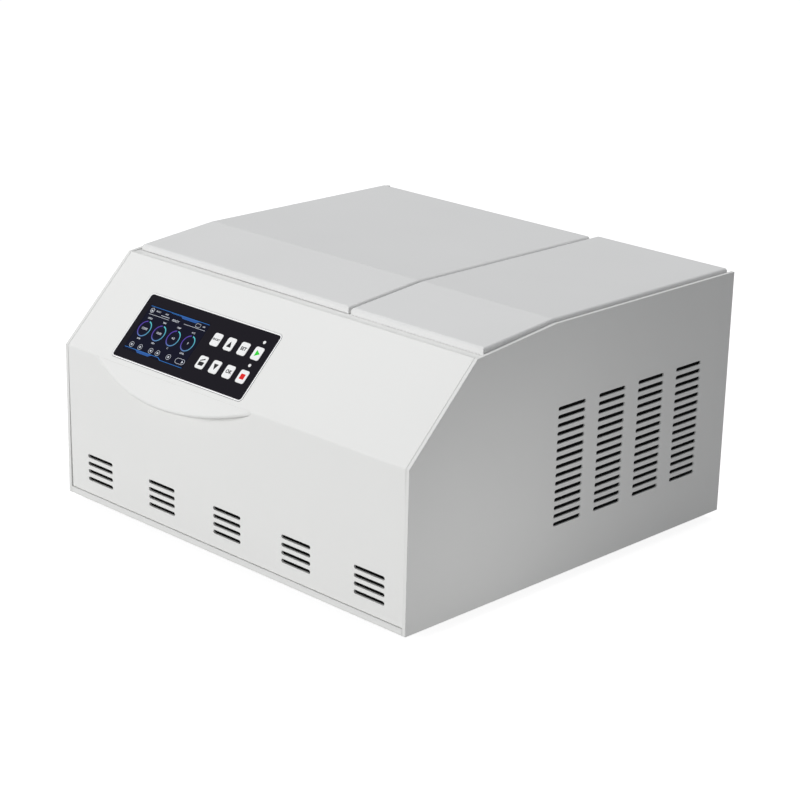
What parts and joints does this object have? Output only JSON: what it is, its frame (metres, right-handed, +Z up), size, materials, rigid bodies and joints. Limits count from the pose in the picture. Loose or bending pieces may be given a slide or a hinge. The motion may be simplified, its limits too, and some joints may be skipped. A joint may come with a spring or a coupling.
{
  "type": "refrigerated benchtop centrifuge",
  "caption": "Low off-white cabinet with a sloped touch-key console, vent slots and a rear-hinged lid over a cooled rotor chamber, with a fixed cover beside it.",
  "frame": {"origin": "on the table, under the middle of the whole machine", "axes": "+Z up, +Y from the console to the rear, +X to the user's right"},
  "size_m": [0.62, 0.6091, 0.3406],
  "materials": {
    "coated_panel": "off-white powder coat, fine texture",
    "coated_console": "off-white moulded plastic, fine texture",
    "coated_lid": "off-white powder coat, smooth",
    "zinc_sheet": "zinc-plated sheet",
    "stainless": "brushed stainless",
    "rotor_alloy": "hard anodised",
    "bare_alloy": "machined",
    "steel_pin": "ground steel",
    "black_rubber": "moulded",
    "grey_foam": "closed-cell foam",
    "overlay_black": "satin printed film",
    "screen_glass": "clear gloss over a dark screen",
    "key_white": "satin",
    "lens_white": "gloss",
    "black_plastic": "moulded",
    "board_green": "solder mask",
    "motor_grey": "semi-gloss"
  },
  "bodies": {
    "cabinet": {"base_pan": "coated_panel", "rubber_feet": "black_rubber", "right_side_panel": "coated_panel", "left_side_panel": "coated_panel", "front_console": "coated_console", "control_overlay": "overlay_black", "display_window": "screen_glass", "display_module": "black_plastic", "indicator_lenses": "lens_white", "control_board": "board_green", "top_deck": "coated_panel", "bulkhead": "zinc_sheet", "rear_panel": "coated_panel", "connector_plate": "coated_panel", "rear_screws": "steel_pin", "right_top_cover": "coated_lid", "chamber_bowl": "stainless", "chamber_seal": "black_rubber", "evaporator_sleeve": "bare_alloy", "chamber_foam": "grey_foam", "motor_mounts": "black_rubber", "drive_motor": "motor_grey", "shaft_bearing": "steel_pin", "shaft_bellows": "black_rubber", "hinge_brackets": "zinc_sheet", "hinge_pins": "steel_pin", "lock_bracket": "zinc_sheet", "lock_pin": "steel_pin", "lock_motor": "motor_grey", "condenser": "bare_alloy", "fan_shroud": "zinc_sheet", "fan_motor": "motor_grey", "compressor": "motor_grey", "compressor_mounts": "black_rubber", "motor_inverter": "bare_alloy", "power_supply": "zinc_sheet", "mains_inlet": "black_plastic", "switch_housing": "black_plastic"},
    "lid": {"lid_shell": "coated_lid", "lid_liner": "stainless", "lid_foam": "grey_foam", "lid_hinge_leaves": "zinc_sheet", "lid_striker": "zinc_sheet"},
    "rotor": {"drive_shaft": "steel_pin", "rotor_body": "rotor_alloy", "rotor_lid": "bare_alloy"},
    "rotor_knob": {"rotor_knob": "black_plastic"},
    "lock_hook": {"lock_hook": "steel_pin"},
    "condenser_fan": {"condenser_fan": "black_plastic"},
    "power_rocker": {"power_rocker": "black_plastic"},
    "key_pulse": {"key_pulse": "key_white"},
    "key_raise": {"key_raise": "key_white"},
    "key_set": {"key_set": "key_white"},
    "key_start": {"key_start": "key_white"},
    "key_lid_release": {"key_lid_release": "key_white"},
    "key_lower": {"key_lower": "key_white"},
    "key_confirm": {"key_confirm": "key_white"},
    "key_stop": {"key_stop": "key_white"}
  },
  "joints": [
    {"name": "lid_hinge", "type": "hinge", "parent": "cabinet", "child": "lid", "pos_m": [-0.095, 0.29723, 0.32857], "axis": [-1, 0, 0], "range_deg": [0, 75]},
    {"name": "rotor_spin", "type": "hinge", "parent": "cabinet", "child": "rotor", "pos_m": [-0.095, 0.05509, 0.32057], "axis": [0, 0, 1], "continuous": true},
    {"name": "knob_turn", "type": "hinge", "parent": "rotor", "child": "rotor_knob", "pos_m": [-0.095, 0.05509, 0.32057], "axis": [0, 0, 1], "continuous": true},
    {"name": "lock_swing", "type": "hinge", "parent": "cabinet", "child": "lock_hook", "pos_m": [-0.095, -0.13071, 0.28557], "axis": [1, 0, 0], "range_deg": [0, 40]},
    {"name": "fan_spin", "type": "hinge", "parent": "cabinet", "child": "condenser_fan", "pos_m": [0.24, 0.10923, 0.0965], "axis": [1, 0, 0], "continuous": true},
    {"name": "rocker_tilt", "type": "hinge", "parent": "cabinet", "child": "power_rocker", "pos_m": [0.165, 0.29523, 0.067], "axis": [1, 0, 0], "range_deg": [-8, 8]},
    {"name": "key_pulse_press", "type": "slide", "parent": "cabinet", "child": "key_pulse", "axis": [0, 0.7071, -0.7071], "range_m": [0, 0.0005], "stiffness_N_per_m": 2000},
    {"name": "key_raise_press", "type": "slide", "parent": "cabinet", "child": "key_raise", "axis": [0, 0.7071, -0.7071], "range_m": [0, 0.0005], "stiffness_N_per_m": 2000},
    {"name": "key_set_press", "type": "slide", "parent": "cabinet", "child": "key_set", "axis": [0, 0.7071, -0.7071], "range_m": [0, 0.0005], "stiffness_N_per_m": 2000},
    {"name": "key_start_press", "type": "slide", "parent": "cabinet", "child": "key_start", "axis": [0, 0.7071, -0.7071], "range_m": [0, 0.0005], "stiffness_N_per_m": 2000},
    {"name": "key_lid_release_press", "type": "slide", "parent": "cabinet", "child": "key_lid_release", "axis": [0, 0.7071, -0.7071], "range_m": [0, 0.0005], "stiffness_N_per_m": 2000},
    {"name": "key_lower_press", "type": "slide", "parent": "cabinet", "child": "key_lower", "axis": [0, 0.7071, -0.7071], "range_m": [0, 0.0005], "stiffness_N_per_m": 2000},
    {"name": "key_confirm_press", "type": "slide", "parent": "cabinet", "child": "key_confirm", "axis": [0, 0.7071, -0.7071], "range_m": [0, 0.0005], "stiffness_N_per_m": 2000},
    {"name": "key_stop_press", "type": "slide", "parent": "cabinet", "child": "key_stop", "axis": [0, 0.7071, -0.7071], "range_m": [0, 0.0005], "stiffness_N_per_m": 2000}
  ]
}
